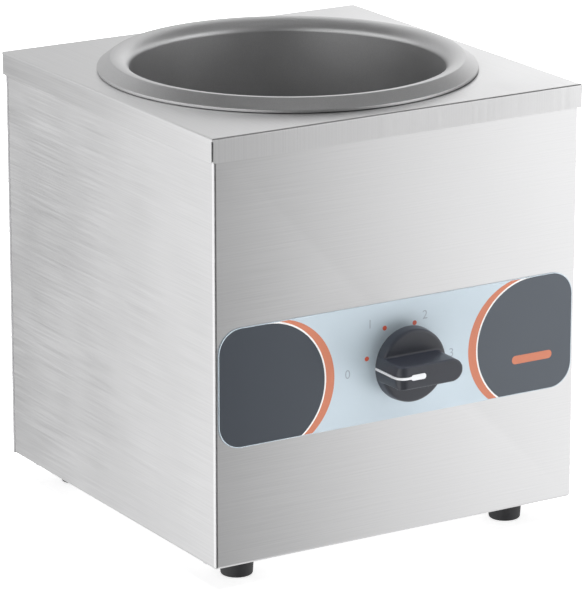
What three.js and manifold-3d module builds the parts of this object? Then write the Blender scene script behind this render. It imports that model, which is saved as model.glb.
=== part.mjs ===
// Countertop round-well food warmer: a square stainless cabinet with a box lid, a drawn round
// well, a heater band, and a thermostat with a bar knob on the front. Millimetres, +Z up.
// The origin is on the surface that the feet stand on, under the middle of the whole object.
import * as THREE from 'three';
import { mergeVertices } from 'three/addons/utils/BufferGeometryUtils.js';
import Module from 'manifold-3d';

const wasm = await Module();
wasm.setup();

// ---- driving dimensions -------------------------------------------------------------------
const SHEET = 1.0; // stainless sheet of the lid, cabinet, rear panel and pan
const GAP = 0.3; // clearance between pieces that sit against each other
const ROUND = 48; // sides of the large round pieces
const SMALL_ROUND = 12; // sides of the fasteners

const BODY = { width: 213.2, depth: 213.2, height: 218.2, bend: 1.6, flange: 11, rearFlange: 14 };
const LID = { clearance: 0.4, flange: 12.1, slit: 1.8 };
const WELL = { openingR: 81, depth: 190, wall: 1.2, cornerR: 12 };
const RIM = { roll: 9.5, cone: 7, height: 6.5, lip: 1.3 }; // from the well's mouth outwards
const WELL_PASS = 5.8; // radial room around the well wall in the lid's hole
const FOOT = { height: 14.2, topR: 9.2, bottomR: 8.4, insetX: 25.7, insetY: 23, recessR: 5, recess: 6 };
const OVERLAY = { width: 209, height: 61.3, thickness: 0.4, cornerR: 12.5, glue: 0.1, belowLid: 127.4 };
const KNOB = { standoff: 8, skirtR: 19.5, faceR: 18.8, skirt: 6.5, edge: 0.8, wall: 2.2 };
const HUB = { r: 6.8, standoff: 5 };
const BAR = { width: 12.8, rise: 16.2, rightReach: 18.3, leftReach: 19.4, cornerR: 3 };
const POINTER = { from: 3.9, to: 13.2, width: 3.1, line: 1.3, depth: 0.7, proud: 0.15, gap: 0.15, foot: 0.6 };
const SHAFT = { r: 3, flatDepth: 0.8, running: 0.1, intoHousing: 8, intoKnob: 14 };
const CLIP = { wall: 0.5, fit: 0.25, length: 8, slot: 2 };
const HOUSING = { width: 21, height: 34, depth: 15 };
const BRACKET = { width: 34, height: 22, screwSpacing: 20, screwLength: 2.4 };
const TAB = { width: 6.3, thickness: 0.8, length: 8, spacing: 11 };
const BAND = { height: 44, thickness: 4, belowLid: 139, gap: 8, earLength: 13, earThickness: 2 };
const BAND_GAP_ANGLE = 135;
const POST = { r: 2.2, length: 9, angles: [-57, -123] };
const WRAP = { thickness: 9, topBelowLid: 26, height: 107, frontGap: 76 };
const HANGER = { width: 14, leg: 20, reach: 22, thickness: 1.5, angles: [45, 135, 225, 315] };
const STUD = { r: 2, length: 9, fromWell: 12 };
const NUT = { r: 4.1, thickness: 3.2 };
const PAN_RISE = 9; // height of the pan's turned-up sides
const SCREW = { r: 1.9, headR: 3.6, head: 1.9, length: 7 };
const GLAND = { boreR: 3.8, bodyR: 7.6, flangeR: 10.5, proud: 5, inside: 9, nut: 4, x: 62, aboveBody: 26 };
const BLOCK = { width: 34, depth: 16, height: 14, x: 52, y: 72 };
const CUTOUT = { r: 12.5, height: 9, stemR: 4, y: 30 };
const PLATE = { width: 72, height: 44, thickness: 0.5, x: -34, z: 90 };
const VENT = { length: 42, width: 4, pitch: 11, rows: 6 };
const WIRE = { r: 1.3, sides: 8, steps: 16 };
const PAN_SCREW = { front: 15, rear: 21.4 }; // distances of the pan screws from the front and rear faces

// ---- derived levels and faces ---------------------------------------------------------------
const panZ = FOOT.height + GAP;
const panTop = panZ + SHEET;
const bodyZ = panZ - GAP - SHEET;
const bodyTop = bodyZ + BODY.height;
const lidUnder = bodyTop + GAP;
const lidTop = lidUnder + SHEET;
const halfW = BODY.width / 2;
const halfD = BODY.depth / 2;
const lidHalfW = halfW + LID.clearance + SHEET;
const lidHalfD = halfD + LID.clearance + SHEET;
const front = -halfD;
const wellR = WELL.openingR + WELL.wall;
const crestR = WELL.openingR + RIM.roll;
const rimR = crestR + RIM.cone;
const wellBottom = lidTop - WELL.depth - WELL.wall;
const dialZ = lidTop - OVERLAY.belowLid;
const knobTop = KNOB.standoff + KNOB.skirt + BAR.rise;
const screwHole = SCREW.r + GAP;
const rearScrewInset = BODY.rearFlange / 2;
const wrapRear = halfD - SHEET - GAP;
const frontReach = halfD + knobTop + POINTER.proud;
const rearReach = halfD + GLAND.proud;
const cabinetY = (frontReach - rearReach) / 2;

// ---- colours ------------------------------------------------------------------------------
const finish = (color, roughness, metalness) =>
  new THREE.MeshStandardMaterial({ color, roughness, metalness });
const STAINLESS = () => finish(0xc9cacb, 0.34, 0.95);
const WELL_METAL = () => finish(0x8a8b8d, 0.55, 0.85);
const ZINC = () => finish(0xb4b6b8, 0.4, 0.9);
const BLACK_PLASTIC = () => finish(0x2c2d30, 0.5, 0.0);
const WHITE_PLASTIC = () => finish(0xf0f1f2, 0.45, 0.0);
const BLACK_RUBBER = () => finish(0x1b1b1c, 0.85, 0.0);
const OVERLAY_FILM = () => finish(0xcbd7de, 0.4, 0.0);
const CERAMIC = () => finish(0xe4ddcc, 0.7, 0.0);
const MICA = () => finish(0x9c9384, 0.6, 0.4);
const FIBRE = () => finish(0xe9e2c9, 0.95, 0.0);
const GREEN = () => finish(0x2f7a45, 0.45, 0.6);
const WIRE_COLOURS = { black: 0x202020, red: 0xa02820, white: 0xe8e8e4, blue: 0x2c4c90 };

// ---- solids ---------------------------------------------------------------------------------
function signedVolume(positions, indices) {
  const [a, b, c] = [new THREE.Vector3(), new THREE.Vector3(), new THREE.Vector3()];
  let volume = 0;
  for (let i = 0; i < indices.length; i += 3) {
    a.fromArray(positions, indices[i] * 3);
    b.fromArray(positions, indices[i + 1] * 3);
    c.fromArray(positions, indices[i + 2] * 3);
    volume += a.dot(b.cross(c)) / 6;
  }
  return volume;
}

// A closed three.js geometry as a solid, with its faces turned outwards.
function solid(geometry) {
  const bare = geometry.clone();
  bare.deleteAttribute('normal');
  bare.deleteAttribute('uv');
  const welded = mergeVertices(bare, 1e-4);
  const vertProperties = new Float32Array(welded.attributes.position.array);
  const faces = [];
  const index = welded.index.array;
  for (let i = 0; i < index.length; i += 3) {
    const [a, b, c] = [index[i], index[i + 1], index[i + 2]];
    if (a !== b && b !== c && c !== a) faces.push([a, b, c]);
  }
  const outward = signedVolume(vertProperties, faces.flat()) > 0;
  const triVerts = new Uint32Array(faces.flatMap(([a, b, c]) => (outward ? [a, b, c] : [a, c, b])));
  return new wasm.Manifold(new wasm.Mesh({ numProp: 3, vertProperties, triVerts }));
}

function join(first, ...others) {
  return others.reduce((all, next) => all.add(next), first);
}

function cut(first, ...others) {
  return others.reduce((left, next) => left.subtract(next), first);
}

function box(low, high) {
  const size = high.map((value, i) => value - low[i]);
  const geometry = new THREE.BoxGeometry(...size);
  geometry.translate(...low.map((value, i) => value + size[i] / 2));
  return solid(geometry);
}

// A cylinder along one axis ('x', 'y' or 'z') between two places on it.
function rod(axis, radius, from, to, centre, sides = SMALL_ROUND) {
  const geometry = new THREE.CylinderGeometry(radius, radius, to - from, sides);
  geometry.translate(0, (from + to) / 2, 0);
  if (axis === 'z') geometry.rotateX(Math.PI / 2);
  if (axis === 'x') geometry.rotateZ(-Math.PI / 2);
  geometry.translate(...centre);
  return solid(geometry);
}

// A solid turned about +Z from a closed outline of [radius, height] points.
function turned(outline, sides = ROUND) {
  const points = outline.map(([r, z]) => new THREE.Vector2(r, z));
  if (outline[0][0] > 0) points.push(points[0].clone());
  const geometry = new THREE.LatheGeometry(points, sides);
  geometry.rotateX(Math.PI / 2);
  return solid(geometry);
}

function placed(shape, x, y, z) {
  return shape.translate([x, y, z]);
}

// An outline in plan, raised along +Z.
function raised(shape, height, z = 0, curveSegments = 12) {
  const geometry = new THREE.ExtrudeGeometry(shape, { depth: height, bevelEnabled: false, curveSegments });
  geometry.translate(0, 0, z);
  return solid(geometry);
}

function roundedRectangle(width, height, radius) {
  const [x, y] = [width / 2, height / 2];
  const shape = new THREE.Shape();
  shape.moveTo(-x + radius, -y);
  shape.lineTo(x - radius, -y);
  shape.absarc(x - radius, -y + radius, radius, -Math.PI / 2, 0);
  shape.lineTo(x, y - radius);
  shape.absarc(x - radius, y - radius, radius, 0, Math.PI / 2);
  shape.lineTo(-x + radius, y);
  shape.absarc(-x + radius, y - radius, radius, Math.PI / 2, Math.PI);
  shape.lineTo(-x, -y + radius);
  shape.absarc(-x + radius, -y + radius, radius, Math.PI, 1.5 * Math.PI);
  return shape;
}

// A solid made with +Z outwards, turned to face out of the cabinet's front at height z.
function onFront(shape, z = dialZ) {
  return shape.rotate([90, 0, 0]).translate([0, front, z]);
}

const radians = THREE.MathUtils.degToRad;
const around = (radius, degrees) => {
  const turn = radians(degrees);
  return [radius * Math.cos(turn), radius * Math.sin(turn)];
};
const arc = (cx, cz, rx, rz, from, to, steps) =>
  Array.from({ length: steps + 1 }, (_, i) => {
    const a = radians(from + ((to - from) * i) / steps);
    return [cx + rx * Math.cos(a), cz + rz * Math.sin(a)];
  });

const model = new THREE.Group();
model.position.y = cabinetY;

function addPart(name, shape, material) {
  const { vertProperties, triVerts } = shape.getMesh();
  const geometry = new THREE.BufferGeometry();
  geometry.setAttribute('position', new THREE.BufferAttribute(vertProperties, 3));
  geometry.setIndex(new THREE.BufferAttribute(triVerts, 1));
  geometry.computeVertexNormals();
  const mesh = new THREE.Mesh(geometry, material);
  mesh.name = name;
  model.add(mesh);
}

// ---- fasteners ------------------------------------------------------------------------------
// A pan-head screw with its head on +Z and its shank down -Z, and a slot across the head.
function screw(length = SCREW.length) {
  const { r, headR, head } = SCREW;
  const outline = [
    [0, -length], [r * 0.6, -length], [r, -length + r * 0.5], [r, 0], [headR, 0],
    [headR, head * 0.45], [headR * 0.72, head], [0, head],
  ];
  const slot = box([-headR, -0.4, head * 0.5], [headR, 0.4, head + 1]);
  return cut(turned(outline, SMALL_ROUND), slot);
}

// ---- cabinet --------------------------------------------------------------------------------
const panScrewSpots = () => {
  const x = halfW - BODY.flange / 2;
  const yFront = front + PAN_SCREW.front;
  const yRear = halfD - PAN_SCREW.rear;
  return {
    front_left: [-x, yFront], front_right: [x, yFront],
    rear_left: [-x, yRear], rear_right: [x, yRear],
  };
};

const rearScrewSpots = () => {
  const x = halfW - rearScrewInset;
  const high = lidTop - LID.flange / 2;
  const low = panZ + PAN_RISE + rearScrewInset;
  return { upper_left: [-x, high], upper_right: [x, high], lower_left: [-x, low], lower_right: [x, low] };
};

const footSpots = () => {
  const x = halfW - FOOT.insetX;
  const y = halfD - FOOT.insetY;
  return { front_left: [-x, -y], front_right: [x, -y], rear_left: [-x, y], rear_right: [x, y] };
};

function bodyWrap() {
  const depth = wrapRear - front;
  const plan = roundedRectangle(BODY.width, depth + 2 * BODY.bend, BODY.bend);
  const block = placed(raised(plan, BODY.height, bodyZ, 4), 0, front + depth / 2 + BODY.bend, 0);
  const behind = box([-halfW - 1, wrapRear, bodyZ - 1], [halfW + 1, wrapRear + 3 * BODY.bend, bodyTop + 1]);
  const [inX, inFront, inRear] = [halfW - SHEET, front + SHEET, wrapRear - SHEET];
  const inside = box([-inX, inFront, bodyZ + SHEET], [inX, inRear, bodyTop - SHEET]);
  const openX = halfW - BODY.flange;
  const openFront = front + BODY.flange;
  const openRear = halfD - BODY.flange;
  const ends = box([-openX, openFront, bodyZ - 1], [openX, openRear, bodyTop + 1]);
  const rearX = halfW - BODY.rearFlange;
  const rear = box(
    [-rearX, inRear - 1, bodyZ + BODY.rearFlange],
    [rearX, wrapRear + 1, bodyTop - BODY.rearFlange],
  );
  const dialHoles = [
    rod('y', SHAFT.r + 2, front - 1, front + SHEET + 1, [0, 0, dialZ]),
    ...[-1, 1].map((side) =>
      rod('y', screwHole, front - 1, front + SHEET + 1, [(side * BRACKET.screwSpacing) / 2, 0, dialZ])),
  ];
  const panHoles = Object.values(panScrewSpots()).map(([x, y]) =>
    rod('z', screwHole, bodyZ - 1, bodyZ + SHEET + 1, [x, y, 0]));
  const rearHoles = Object.values(rearScrewSpots()).map(([x, z]) =>
    rod('y', screwHole, wrapRear - SHEET - 1, wrapRear + 1, [x, 0, z]));
  return cut(block, behind, inside, ends, rear, ...dialHoles, ...panHoles, ...rearHoles);
}

function rearPanel() {
  const low = [-halfW, halfD - SHEET, bodyZ];
  const high = [halfW, halfD, bodyTop];
  const plate = box(low, high);
  const screws = Object.values(rearScrewSpots()).map(([x, z]) =>
    rod('y', screwHole, halfD - SHEET - 1, halfD + 1, [x, 0, z]));
  const glandHole = rod('y', GLAND.bodyR + GAP, halfD - SHEET - 1, halfD + 1, [GLAND.x, 0, glandZ()], 32);
  const ground = rod('y', screwHole, halfD - SHEET - 1, halfD + 1, [groundX(), 0, glandZ()]);
  return cut(plate, ...screws, glandHole, ground, ...rearVents());
}

function rearVents() {
  const slots = [];
  for (const side of [-1, 1]) {
    for (let row = 0; row < VENT.rows; row += 1) {
      const z = bodyTop - BODY.rearFlange - LID.flange - VENT.pitch * (row + 1);
      const x = side * BODY.width * 0.2;
      const slot = raised(roundedRectangle(VENT.length, VENT.width, VENT.width / 2.01), 3 * SHEET, 0, 1);
      slots.push(slot.rotate([90, 0, 0]).translate([x, halfD + SHEET, z]));
    }
  }
  return slots;
}

function bottomPan() {
  const x = halfW - SHEET - GAP;
  const yFront = front + SHEET + GAP;
  const yRear = wrapRear - SHEET - GAP;
  const tray = cut(
    box([-x, yFront, panZ], [x, yRear, panZ + PAN_RISE]),
    box([-x + SHEET, yFront + SHEET, panTop], [x - SHEET, yRear - SHEET, panZ + PAN_RISE + 1]),
  );
  const screws = Object.values(panScrewSpots()).map(([sx, sy]) =>
    rod('z', screwHole, panZ - 1, panTop + 1, [sx, sy, 0]));
  const feet = Object.values(footSpots()).map(([fx, fy]) =>
    rod('z', screwHole, panZ - 1, panTop + 1, [fx, fy, 0]));
  return cut(tray, ...screws, ...feet, ...panVents());
}

function panVents() {
  const slots = [];
  for (const side of [-1, 1]) {
    for (let row = 0; row < VENT.rows; row += 1) {
      const y = VENT.pitch * (row - (VENT.rows - 1) / 2);
      const slot = raised(roundedRectangle(VENT.length, VENT.width, VENT.width / 2.01), 3 * SHEET, 0, 1);
      slots.push(placed(slot, side * BODY.width * 0.2, y, panZ - SHEET));
    }
  }
  return slots;
}

function topCover() {
  const block = box([-lidHalfW, -lidHalfD, lidTop - LID.flange], [lidHalfW, lidHalfD, lidTop]);
  const [inX, inY] = [lidHalfW - SHEET, lidHalfD - SHEET];
  const inside = box([-inX, -inY, lidTop - LID.flange - 1], [inX, inY, lidUnder]);
  const slits = [];
  for (const sx of [-1, 1]) {
    for (const sy of [-1, 1]) {
      const corner = [sx * lidHalfW, sy * lidHalfD, 0];
      const notch = box([-LID.slit, -LID.slit, lidTop - LID.flange - 1], [LID.slit, LID.slit, lidUnder]);
      slits.push(placed(notch, ...corner));
    }
  }
  const hole = rod('z', wellR + WELL_PASS, lidUnder - 1, lidTop + 1, [0, 0, 0], ROUND);
  const rearHoles = Object.entries(rearScrewSpots())
    .filter(([name]) => name.startsWith('upper'))
    .map(([, [x, z]]) => rod('y', screwHole, inY - 1, lidHalfD + 1, [x, 0, z]));
  const studs = HANGER.angles.map((angle) => {
    const [x, y] = around(wellR + STUD.fromWell, angle);
    return rod('z', STUD.r, lidUnder - STUD.length, lidTop - SHEET / 2, [x, y, 0], 12);
  });
  return join(cut(block, inside, ...slits, hole, ...rearHoles), ...studs);
}

// ---- well -----------------------------------------------------------------------------------
// The well and its rim are one drawn shell: a cup whose mouth rolls out over a raised crest and
// comes down as a cone to a short lip that stands on the lid.
function well() {
  const { openingR, depth, wall, cornerR } = WELL;
  const floor = lidTop - depth;
  const top = lidTop + RIM.height;
  const lipTop = lidTop + GAP + RIM.lip;
  const inner = [
    [0, floor],
    ...arc(openingR - cornerR, floor + cornerR, cornerR, cornerR, -90, 0, 4),
    ...arc(crestR, lidTop, RIM.roll, RIM.height, 180, 90, 6),
  ];
  const rim = [
    [crestR + wall, top - wall * 0.4],
    [rimR, lipTop],
    [rimR, lidTop + GAP],
    [rimR - wall, lidTop + GAP],
    [rimR - wall, lipTop - wall * 0.3],
  ];
  const outer = [
    ...arc(crestR, lidTop, RIM.roll - wall, RIM.height - wall, 90, 180, 6),
    ...arc(openingR - cornerR, floor + cornerR, cornerR + wall, cornerR + wall, 0, -90, 4),
    [0, floor - wall],
  ];
  return turned([...inner, ...rim, ...outer]);
}

function heaterBand() {
  const inner = wellR + GAP;
  const outer = inner + BAND.thickness;
  const half = THREE.MathUtils.radToDeg(BAND.gap / 2 / inner);
  const [from, to] = [half, 360 - half];
  const shape = new THREE.Shape();
  shape.absarc(0, 0, outer, radians(from), radians(to), false);
  shape.absarc(0, 0, inner, radians(to), radians(from), true);
  const z = bandLow();
  const ring = raised(shape, BAND.height, z, 22);
  const ears = [-1, 1].map((side) => {
    const y0 = side > 0 ? BAND.gap / 2 : -BAND.gap / 2 - BAND.earThickness;
    const ear = box(
      [inner + 0.5, y0, z + BAND.height / 2 - 8],
      [outer + BAND.earLength, y0 + BAND.earThickness, z + BAND.height / 2 + 8],
    );
    return cut(ear, rod('y', screwHole, -20, 20, [earBoltR(), 0, z + BAND.height / 2]));
  });
  return join(ring, ...ears).rotate([0, 0, BAND_GAP_ANGLE]);
}

function bandLow() {
  return lidTop - BAND.belowLid - BAND.height;
}

function earBoltR() {
  return wellR + GAP + BAND.thickness + BAND.earLength * 0.6;
}

function heaterBandBolt() {
  const reach = BAND.gap / 2 + BAND.earThickness + GAP;
  const shape = screw(2 * reach + 3).rotate([-90, 0, 0]);
  return placed(shape, earBoltR(), reach, bandLow() + BAND.height / 2).rotate([0, 0, BAND_GAP_ANGLE]);
}

function heaterTerminal(angle) {
  const start = wellR + GAP + BAND.thickness + GAP;
  const outline = [
    [0, 0], [POST.r * 1.9, 0], [POST.r * 1.9, 2], [POST.r, 2.6], [POST.r, POST.length], [0, POST.length],
  ];
  const post = turned(outline, 12).rotate([0, 90, 0]);
  return placed(post, start, 0, bandLow() + BAND.height * 0.6).rotate([0, 0, angle]);
}

function insulationWrap() {
  const inner = wellR + 2 * GAP;
  const outer = inner + WRAP.thickness;
  const from = -90 + WRAP.frontGap / 2;
  const to = 270 - WRAP.frontGap / 2;
  const shape = new THREE.Shape();
  shape.absarc(0, 0, outer, radians(from), radians(to), false);
  shape.absarc(0, 0, inner, radians(to), radians(from), true);
  return raised(shape, WRAP.height, lidTop - WRAP.topBelowLid - WRAP.height, 18);
}

// An angle clip whose short leg hangs on a stud of the lid and whose long leg grips the well.
function wellHanger(angle) {
  const top = lidUnder - GAP;
  const start = wellR + GAP;
  const half = HANGER.width / 2;
  const leg = box([start, -half, top - HANGER.leg], [start + HANGER.thickness, half, top]);
  const shelf = box([start, -half, top - HANGER.thickness], [start + HANGER.reach, half, top]);
  const hole = rod('z', STUD.r + GAP, top - 5, top + 1, [wellR + STUD.fromWell, 0, 0], 12);
  return cut(join(leg, shelf), hole).rotate([0, 0, angle]);
}

function hangerNut(angle) {
  const top = lidUnder - GAP - HANGER.thickness - GAP;
  const hex = rod('z', NUT.r, top - NUT.thickness, top, [0, 0, 0], 6);
  const nut = cut(hex, rod('z', STUD.r + GAP, top - 10, top + 1, [0, 0, 0], 12));
  const [x, y] = around(wellR + STUD.fromWell, angle);
  return placed(nut, x, y, 0);
}

function limitCutout() {
  const top = wellBottom - GAP;
  const { r, height, stemR } = CUTOUT;
  const outline = [
    [0, top], [r * 0.8, top], [r * 0.8, top - height * 0.35], [r, top - height * 0.4], [r, top - height],
    [stemR, top - height], [stemR, top - height - 3], [0, top - height - 3],
  ];
  return placed(turned(outline, 24), 0, CUTOUT.y, 0);
}

// ---- controls ---------------------------------------------------------------------------------
function controlOverlay() {
  const { width, height, thickness, cornerR, glue } = OVERLAY;
  const film = raised(roundedRectangle(width, height, cornerR), thickness, glue, 8);
  const shaftHole = rod('z', SHAFT.r + 2, -1, 2, [0, 0, 0], 24);
  const screwHoles = [-1, 1].map((side) =>
    rod('z', SCREW.headR + GAP, -1, 2, [(side * BRACKET.screwSpacing) / 2, 0, 0]));
  return onFront(cut(film, shaftHole, ...screwHoles));
}

const bracketFront = front + SHEET + GAP;
const housingFront = bracketFront + SHEET + GAP;
const housingRear = housingFront + HOUSING.depth;
const shaftRear = housingFront + SHAFT.intoHousing;

function thermostatBracket() {
  const { width, height, screwSpacing } = BRACKET;
  const low = [-width / 2, bracketFront, dialZ - height / 2];
  const high = [width / 2, bracketFront + SHEET, dialZ + height / 2];
  const holes = [-1, 1].map((side) =>
    rod('y', screwHole, bracketFront - 1, bracketFront + SHEET + 1, [(side * screwSpacing) / 2, 0, dialZ]));
  const shaftHole = rod('y', SHAFT.r + 0.7, bracketFront - 1, bracketFront + SHEET + 1, [0, 0, dialZ]);
  return cut(box(low, high), shaftHole, ...holes);
}

function thermostatHousing() {
  const { width, height } = HOUSING;
  const low = [-width / 2, housingFront, dialZ - height / 2];
  const high = [width / 2, housingRear, dialZ + height / 2];
  const r = SHAFT.r + SHAFT.running;
  const bore = rod('y', r, housingFront - 1, shaftRear + GAP, [0, 0, dialZ], 32);
  return cut(box(low, high), bore);
}

function thermostatTab(side) {
  const { width, thickness, length, spacing } = TAB;
  const top = dialZ - HOUSING.height / 2 - GAP;
  const y = housingRear - 4;
  const x = (side * spacing) / 2;
  const blade = box([x - width / 2 + 1, y, top - length], [x + width / 2 - 1, y + thickness, top]);
  return cut(blade, rod('y', 0.9, y - 1, y + thickness + 1, [x, 0, top - length / 2], 10));
}

function bracketScrew(side) {
  return onFront(placed(screw(BRACKET.screwLength), (side * BRACKET.screwSpacing) / 2, 0, GAP));
}

function thermostatShaft() {
  const outEnd = HUB.standoff + SHAFT.intoKnob;
  const whole = rod('z', SHAFT.r, front - shaftRear, outEnd, [0, 0, 0], 32);
  const { r, flatDepth } = SHAFT;
  const flat = box([-r - 1, r - flatDepth, HUB.standoff], [r + 1, r + 1, outEnd + 1]);
  return onFront(cut(whole, flat));
}

// A split spring sleeve that takes up the play between the shaft and the knob's hub.
function knobClip() {
  const inner = SHAFT.r + CLIP.fit;
  const z = HUB.standoff + 1.5;
  const tube = cut(
    rod('z', inner + CLIP.wall, z, z + CLIP.length, [0, 0, 0], 24),
    rod('z', inner, z - 1, z + CLIP.length + 1, [0, 0, 0], 24),
  );
  return onFront(cut(tube, box([-CLIP.slot / 2, -10, z - 1], [CLIP.slot / 2, 0, z + CLIP.length + 1])));
}

const faceZ = KNOB.standoff + KNOB.skirt;

function knobSkirt() {
  const { standoff, skirtR, faceR, edge } = KNOB;
  return turned([
    [0, standoff], [skirtR - edge / 2, standoff], [skirtR, standoff + edge / 2],
    [faceR, faceZ - edge], [faceR - edge * 0.3, faceZ - edge * 0.3], [faceR - edge, faceZ], [0, faceZ],
  ]);
}

// The grip: its left end is rounded like the skirt and falls to the skirt's rear edge, and its
// right end is a half circle.
function knobBar() {
  const { width, rightReach, leftReach, cornerR } = BAR;
  const side = new THREE.Shape();
  side.moveTo(-leftReach, KNOB.standoff + KNOB.edge / 2);
  side.lineTo(rightReach, KNOB.standoff + KNOB.edge / 2);
  side.lineTo(rightReach, knobTop - 1);
  side.lineTo(rightReach - 1, knobTop);
  side.lineTo(-leftReach + cornerR, knobTop);
  side.absarc(-leftReach + cornerR, knobTop - cornerR, cornerR, Math.PI / 2, Math.PI);
  const across = raised(side, width, -width / 2, 5).rotate([90, 0, 0]);
  const half = width / 2;
  const plan = new THREE.Shape();
  plan.moveTo(-leftReach - 1, -half);
  plan.lineTo(rightReach - half, -half);
  plan.absarc(rightReach - half, 0, half, -Math.PI / 2, Math.PI / 2);
  plan.lineTo(-leftReach - 1, half);
  const leftEnd = rod('z', leftReach, 0, knobTop + 1, [0, 0, 0], 2 * ROUND);
  return across.intersect(raised(plan, knobTop, 1, 10)).intersect(leftEnd);
}

// The bar's middle line at a distance t off its surface: round the corner and down the left end.
function pointerLine(t, foot) {
  const { leftReach, cornerR } = BAR;
  const corner = arc(-leftReach + cornerR, knobTop - cornerR, cornerR + t, cornerR + t, 90, 180, 5);
  return [[-POINTER.to + 1, knobTop + t], ...corner, [-leftReach - t, foot]];
}

// The white insert on the bar and the slim line that runs on from it down the left end.
function pointerSolid(spread) {
  const { from, to, width, line, depth, proud, foot } = POINTER;
  const [high, low] = [proud + (spread ? 1 : 0), -depth - spread];
  const footZ = KNOB.standoff + foot - spread;
  const points = [...pointerLine(high, footZ), ...pointerLine(low, footZ).reverse()];
  const outline = new THREE.Shape();
  outline.setFromPoints(points.map(([x, z]) => new THREE.Vector2(x, z)));
  const lineWidth = line + 2 * spread;
  const ribbon = raised(outline, lineWidth, -lineWidth / 2, 1).rotate([90, 0, 0]);
  const size = [to - from + 2 * spread, width + 2 * spread];
  const badge = raised(roundedRectangle(...size, 1 + spread), high - low, knobTop + low, 5);
  return join(placed(badge, -(from + to) / 2, 0, 0), ribbon);
}

function knob() {
  const { standoff, skirtR, wall } = KNOB;
  const ceiling = faceZ - wall;
  const hollow = turned([
    [HUB.r, standoff - 1], [skirtR - wall, standoff - 1], [skirtR - wall - 0.5, ceiling], [HUB.r, ceiling],
  ]);
  const hub = rod('z', HUB.r, HUB.standoff, ceiling + 1, [0, 0, 0], ROUND);
  const boreR = SHAFT.r + 2 * CLIP.fit + CLIP.wall;
  const bore = rod('z', boreR, HUB.standoff - 1, HUB.standoff + SHAFT.intoKnob + GAP, [0, 0, 0], 24);
  const outside = join(knobSkirt(), knobBar(), hub);
  return onFront(cut(outside, hollow, bore, pointerSolid(POINTER.gap)));
}

// ---- feet, wiring and rear fittings -------------------------------------------------------------
function foot(x, y) {
  const { height, topR, bottomR, recessR, recess } = FOOT;
  const rubber = turned([
    [0, 0], [bottomR - 0.9, 0], [bottomR, 0.9], [topR, height - 1], [topR, height], [0, height],
  ], 20);
  const bore = rod('z', screwHole, -1, height + 1, [0, 0, 0]);
  const recessHole = rod('z', recessR, -1, recess, [0, 0, 0], 16);
  return placed(cut(rubber, bore, recessHole), x, y, 0);
}

function footScrew(x, y) {
  const seat = FOOT.recess - GAP;
  const length = FOOT.height - seat + SHEET + 4;
  return placed(screw(length).rotate([180, 0, 0]), x, y, seat);
}

function glandZ() {
  return bodyZ + GLAND.aboveBody;
}

function groundX() {
  return GLAND.x - 24;
}

// The bush that the mains lead comes through, with an open bore.
function cordGland() {
  const { boreR, bodyR, flangeR, proud, inside } = GLAND;
  const outline = [
    [boreR, -SHEET - inside], [bodyR, -SHEET - inside], [bodyR, GAP], [flangeR, GAP],
    [flangeR, proud * 0.45], [flangeR - 1.6, proud - 1], [flangeR - 2.6, proud],
    [boreR + 0.8, proud], [boreR, proud - 0.8],
  ];
  return placed(turned(outline, 24).rotate([-90, 0, 0]), GLAND.x, halfD, glandZ());
}

function glandNut() {
  const from = halfD - SHEET - GAP - GLAND.nut;
  const to = halfD - SHEET - GAP;
  const hex = rod('y', GLAND.flangeR + 1, from, to, [0, 0, 0], 6);
  const hole = rod('y', GLAND.bodyR + GAP, from - 1, to + 1, [0, 0, 0], 24);
  return placed(cut(hex, hole), GLAND.x, 0, glandZ());
}

function groundScrew() {
  return placed(screw(8).rotate([-90, 0, 0]), groundX(), halfD + GAP, glandZ());
}

function ratingPlate() {
  const { width, height, thickness, x, z } = PLATE;
  const plate = raised(roundedRectangle(width, height, 3), thickness, 0, 4);
  return placed(plate.rotate([-90, 0, 0]), x, halfD + GAP, z);
}

function terminalBlock() {
  const { width, depth, height, x, y } = BLOCK;
  const z = panTop + GAP;
  const body = box([x - width / 2, y - depth / 2, z], [x + width / 2, y + depth / 2, z + height]);
  const wells = blockScrewX().map((sx) => rod('z', 4, z + height - 6, z + height + 1, [sx, y, 0], 12));
  return cut(body, ...wells);
}

function blockScrewX() {
  return [BLOCK.x - BLOCK.width / 4, BLOCK.x + BLOCK.width / 4];
}

function blockScrew(x) {
  const seat = panTop + GAP + BLOCK.height - 6 + GAP;
  return placed(rod('z', 3.2, seat, seat + 3, [0, 0, 0], 12), x, BLOCK.y, 0);
}

function wire(points) {
  const path = new THREE.CatmullRomCurve3(points.map((p) => new THREE.Vector3(...p)), false, 'centripetal');
  const section = new THREE.Shape();
  const ring = Array.from({ length: WIRE.sides }, (_, i) => around(WIRE.r, (360 * i) / WIRE.sides));
  section.setFromPoints(ring.map(([x, y]) => new THREE.Vector2(x, y)));
  const options = { steps: WIRE.steps, extrudePath: path, bevelEnabled: false };
  return solid(new THREE.ExtrudeGeometry(section, options));
}

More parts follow.
